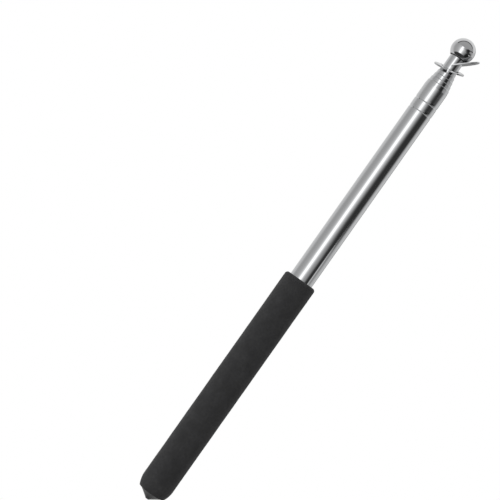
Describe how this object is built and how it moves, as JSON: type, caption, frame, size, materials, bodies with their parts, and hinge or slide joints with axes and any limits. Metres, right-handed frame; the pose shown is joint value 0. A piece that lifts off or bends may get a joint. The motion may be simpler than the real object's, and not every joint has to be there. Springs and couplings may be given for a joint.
{
  "type": "telescopic hand flagpole",
  "caption": "Hand-held telescopic flagpole, pushed together: polished steel tubes that draw out of one another, a foam grip, a ball on top and a spring clip for the flag.",
  "frame": {"origin": "on the pole's axis, in the middle of the grip's straight wall, where a hand or a clamp holds it", "axes": "+Z along the pole from the butt to the ball, +X towards the clip's raised tongue, -Y towards the side where the clip is slit"},
  "size_m": [0.0243, 0.0222, 0.3516],
  "materials": {
    "foam": "matte closed-cell foam",
    "plug_plastic": "moulded, slight sheen",
    "tube_steel": "polished",
    "ball_steel": "polished",
    "spring_steel": "bright, pressed"
  },
  "bodies": {
    "handle": {"foam_grip": "foam", "end_plug": "plug_plastic", "outer_tube": "tube_steel"},
    "section_2": {"tube_2": "tube_steel"},
    "section_3": {"tube_3": "tube_steel"},
    "section_4": {"tube_4": "tube_steel"},
    "section_5": {"tube_5": "tube_steel"},
    "section_6": {"tube_6": "tube_steel", "ball_finial": "ball_steel", "flag_clip": "spring_steel"}
  },
  "joints": [
    {"name": "slide_2", "type": "slide", "parent": "handle", "child": "section_2", "axis": [0, 0, 1], "range_m": [0, 0.25]},
    {"name": "slide_3", "type": "slide", "parent": "section_2", "child": "section_3", "axis": [0, 0, 1], "range_m": [0, 0.25]},
    {"name": "slide_4", "type": "slide", "parent": "section_3", "child": "section_4", "axis": [0, 0, 1], "range_m": [0, 0.25]},
    {"name": "slide_5", "type": "slide", "parent": "section_4", "child": "section_5", "axis": [0, 0, 1], "range_m": [0, 0.25]},
    {"name": "slide_6", "type": "slide", "parent": "section_5", "child": "section_6", "axis": [0, 0, 1], "range_m": [0, 0.25]}
  ]
}
